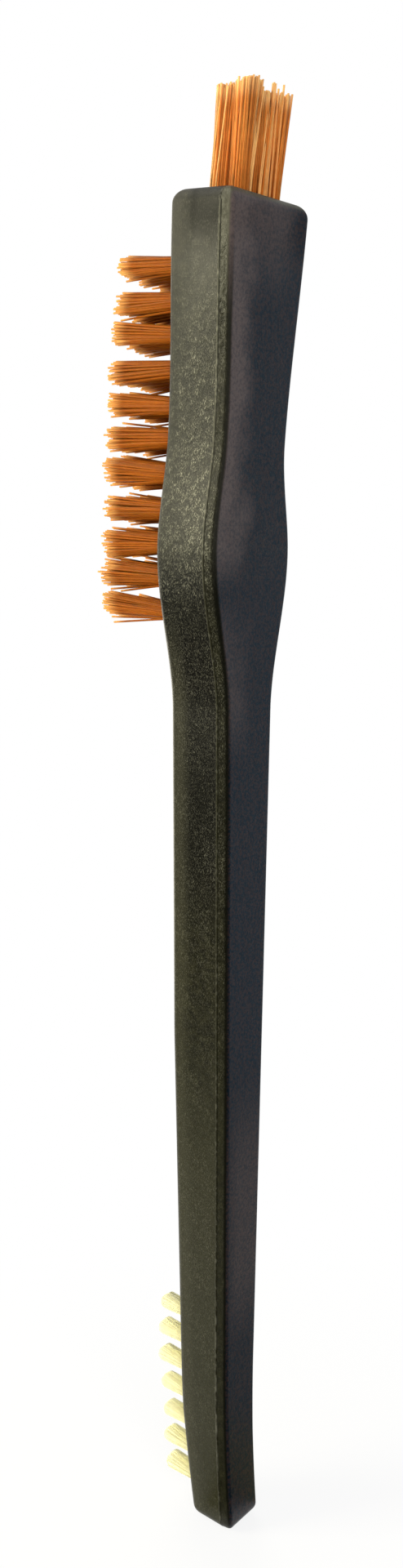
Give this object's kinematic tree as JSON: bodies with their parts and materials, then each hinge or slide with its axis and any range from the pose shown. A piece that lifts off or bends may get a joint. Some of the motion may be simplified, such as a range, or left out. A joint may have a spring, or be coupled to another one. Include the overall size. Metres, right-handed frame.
{
  "type": "detailing brush",
  "caption": "Slim double-ended detailing brush: a waisted black plastic handle with stiff amber tufts on the side and end of its head and short soft pale tufts on its tail.",
  "frame": {"origin": "centre of the flat tail end of the handle, on which the brush stands", "axes": "+Z along the grip from the tail towards the head, +X out of the flat back face of the handle, bristles of the head's side and of the tail towards -X"},
  "size_m": [0.0328, 0.0222, 0.2622],
  "materials": {
    "black_textured_plastic": "fine spark-eroded texture, satin black with an olive cast",
    "amber_nylon": "stiff amber filament, slightly translucent",
    "pale_nylon": "soft pale cream filament, slightly translucent"
  },
  "bodies": {
    "root": {"handle": "black_textured_plastic", "side_tuft_01_1": "amber_nylon", "side_tuft_01_2": "amber_nylon", "side_tuft_01_3": "amber_nylon", "side_tuft_02_1": "amber_nylon", "side_tuft_02_2": "amber_nylon", "side_tuft_02_3": "amber_nylon", "side_tuft_03_1": "amber_nylon", "side_tuft_03_2": "amber_nylon", "side_tuft_03_3": "amber_nylon", "side_tuft_04_1": "amber_nylon", "side_tuft_04_2": "amber_nylon", "side_tuft_04_3": "amber_nylon", "side_tuft_05_1": "amber_nylon", "side_tuft_05_2": "amber_nylon", "side_tuft_05_3": "amber_nylon", "side_tuft_06_1": "amber_nylon", "side_tuft_06_2": "amber_nylon", "side_tuft_06_3": "amber_nylon", "side_tuft_07_1": "amber_nylon", "side_tuft_07_2": "amber_nylon", "side_tuft_07_3": "amber_nylon", "side_tuft_08_1": "amber_nylon", "side_tuft_08_2": "amber_nylon", "side_tuft_08_3": "amber_nylon", "side_tuft_09_1": "amber_nylon", "side_tuft_09_2": "amber_nylon", "side_tuft_09_3": "amber_nylon", "side_tuft_10_1": "amber_nylon", "side_tuft_10_2": "amber_nylon", "side_tuft_10_3": "amber_nylon", "side_tuft_11_1": "amber_nylon", "side_tuft_11_2": "amber_nylon", "side_tuft_11_3": "amber_nylon", "end_tuft_1_1": "amber_nylon", "end_tuft_1_2": "amber_nylon", "end_tuft_2_1": "amber_nylon", "end_tuft_2_2": "amber_nylon", "end_tuft_3_1": "amber_nylon", "end_tuft_3_2": "amber_nylon", "tail_tuft_1_1": "pale_nylon", "tail_tuft_1_2": "pale_nylon", "tail_tuft_2_1": "pale_nylon", "tail_tuft_2_2": "pale_nylon", "tail_tuft_3_1": "pale_nylon", "tail_tuft_3_2": "pale_nylon", "tail_tuft_4_1": "pale_nylon", "tail_tuft_4_2": "pale_nylon", "tail_tuft_5_1": "pale_nylon", "tail_tuft_5_2": "pale_nylon", "tail_tuft_6_1": "pale_nylon", "tail_tuft_6_2": "pale_nylon", "tail_tuft_7_1": "pale_nylon", "tail_tuft_7_2": "pale_nylon"}
  },
  "joints": []
}
